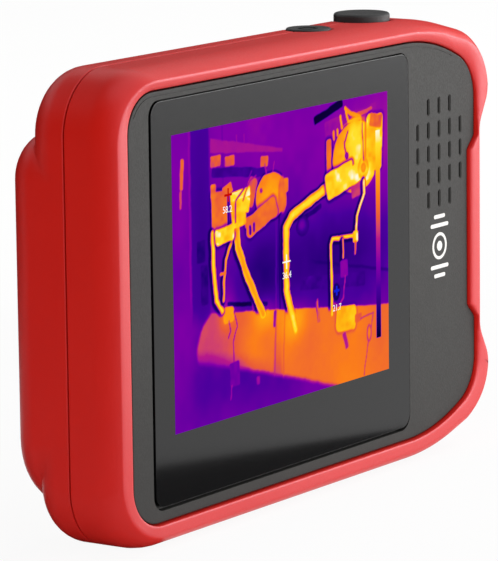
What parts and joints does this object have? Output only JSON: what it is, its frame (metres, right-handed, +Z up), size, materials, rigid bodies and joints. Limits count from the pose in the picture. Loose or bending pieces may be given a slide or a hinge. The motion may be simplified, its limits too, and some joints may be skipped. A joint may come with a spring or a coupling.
{
  "type": "thermal imaging camera",
  "caption": "Pocket thermal imaging camera: red rimmed housing, front touch display with speaker grille, push buttons on the top edge, covered charging port and an optics pod on the back.",
  "frame": {"origin": "middle of the bounding box at its lower face, on which the camera stands", "axes": "+X to the user's right along the long side, +Y from the display towards the lens, +Z up"},
  "size_m": [0.1262, 0.0244, 0.0854],
  "materials": {
    "red_rubber": "soft-touch matte",
    "fascia_plastic": "fine matte",
    "cover_glass": "polished",
    "display": "smooth",
    "button_plastic": "satin",
    "black_plastic": "matte",
    "white_plastic": "matte",
    "steel": "satin",
    "aluminium": "dark anodised",
    "germanium": "coated and polished",
    "circuit_board": "solder mask",
    "cell_wrap": "shrink film",
    "copper": "etched foil",
    "foam": "soft",
    "clear_lens": "polished"
  },
  "bodies": {
    "housing": {"front_bezel": "red_rubber", "rear_shell": "red_rubber", "front_panel": "fascia_plastic", "touch_glass": "cover_glass", "lcd_cell": "display", "backlight_tray": "steel", "speaker": "black_plastic", "nfc_antenna": "copper", "mid_frame": "black_plastic", "main_board": "circuit_board", "processor_shield": "steel", "battery_pack": "cell_wrap", "battery_pad": "foam", "power_switch": "black_plastic", "shutter_switch": "black_plastic", "usb_connector": "steel", "lens_panel": "black_plastic", "lens_barrel": "aluminium", "ir_lens": "germanium", "lens_retainer": "aluminium", "lens_seal": "foam", "camera_module": "black_plastic", "camera_window": "clear_lens", "led_lamp": "white_plastic", "lamp_window": "clear_lens", "sensor_board": "circuit_board", "sensor_connector": "black_plastic", "thermal_sensor": "white_plastic", "flag_motor": "steel", "case_screw_1": "steel", "case_screw_2": "steel", "case_screw_3": "steel", "case_screw_4": "steel"},
    "power_key": {"power_button": "button_plastic", "power_plunger": "white_plastic"},
    "shutter_key": {"shutter_button": "button_plastic", "shutter_plunger": "white_plastic"},
    "port_cover": {"usb_cover": "red_rubber"},
    "flag": {"calibration_flag": "aluminium"}
  },
  "joints": [
    {"name": "power_press", "type": "slide", "parent": "housing", "child": "power_key", "axis": [0, 0, -1], "range_m": [0, 0.0005], "stiffness_N_per_m": 1500, "springref_m": -0.0004},
    {"name": "shutter_press", "type": "slide", "parent": "housing", "child": "shutter_key", "axis": [0, 0, -1], "range_m": [0, 0.0008], "stiffness_N_per_m": 1200, "springref_m": -0.0004},
    {"name": "usb_cover_hinge", "type": "hinge", "parent": "housing", "child": "port_cover", "pos_m": [0.0604, -0.00105, 0.034], "axis": [0, 1, 0], "range_deg": [0, 110]},
    {"name": "flag_swing", "type": "hinge", "parent": "housing", "child": "flag", "pos_m": [-0.02488, 0.0022, 0.042], "axis": [0, 1, 0], "range_deg": [0, 55]}
  ]
}
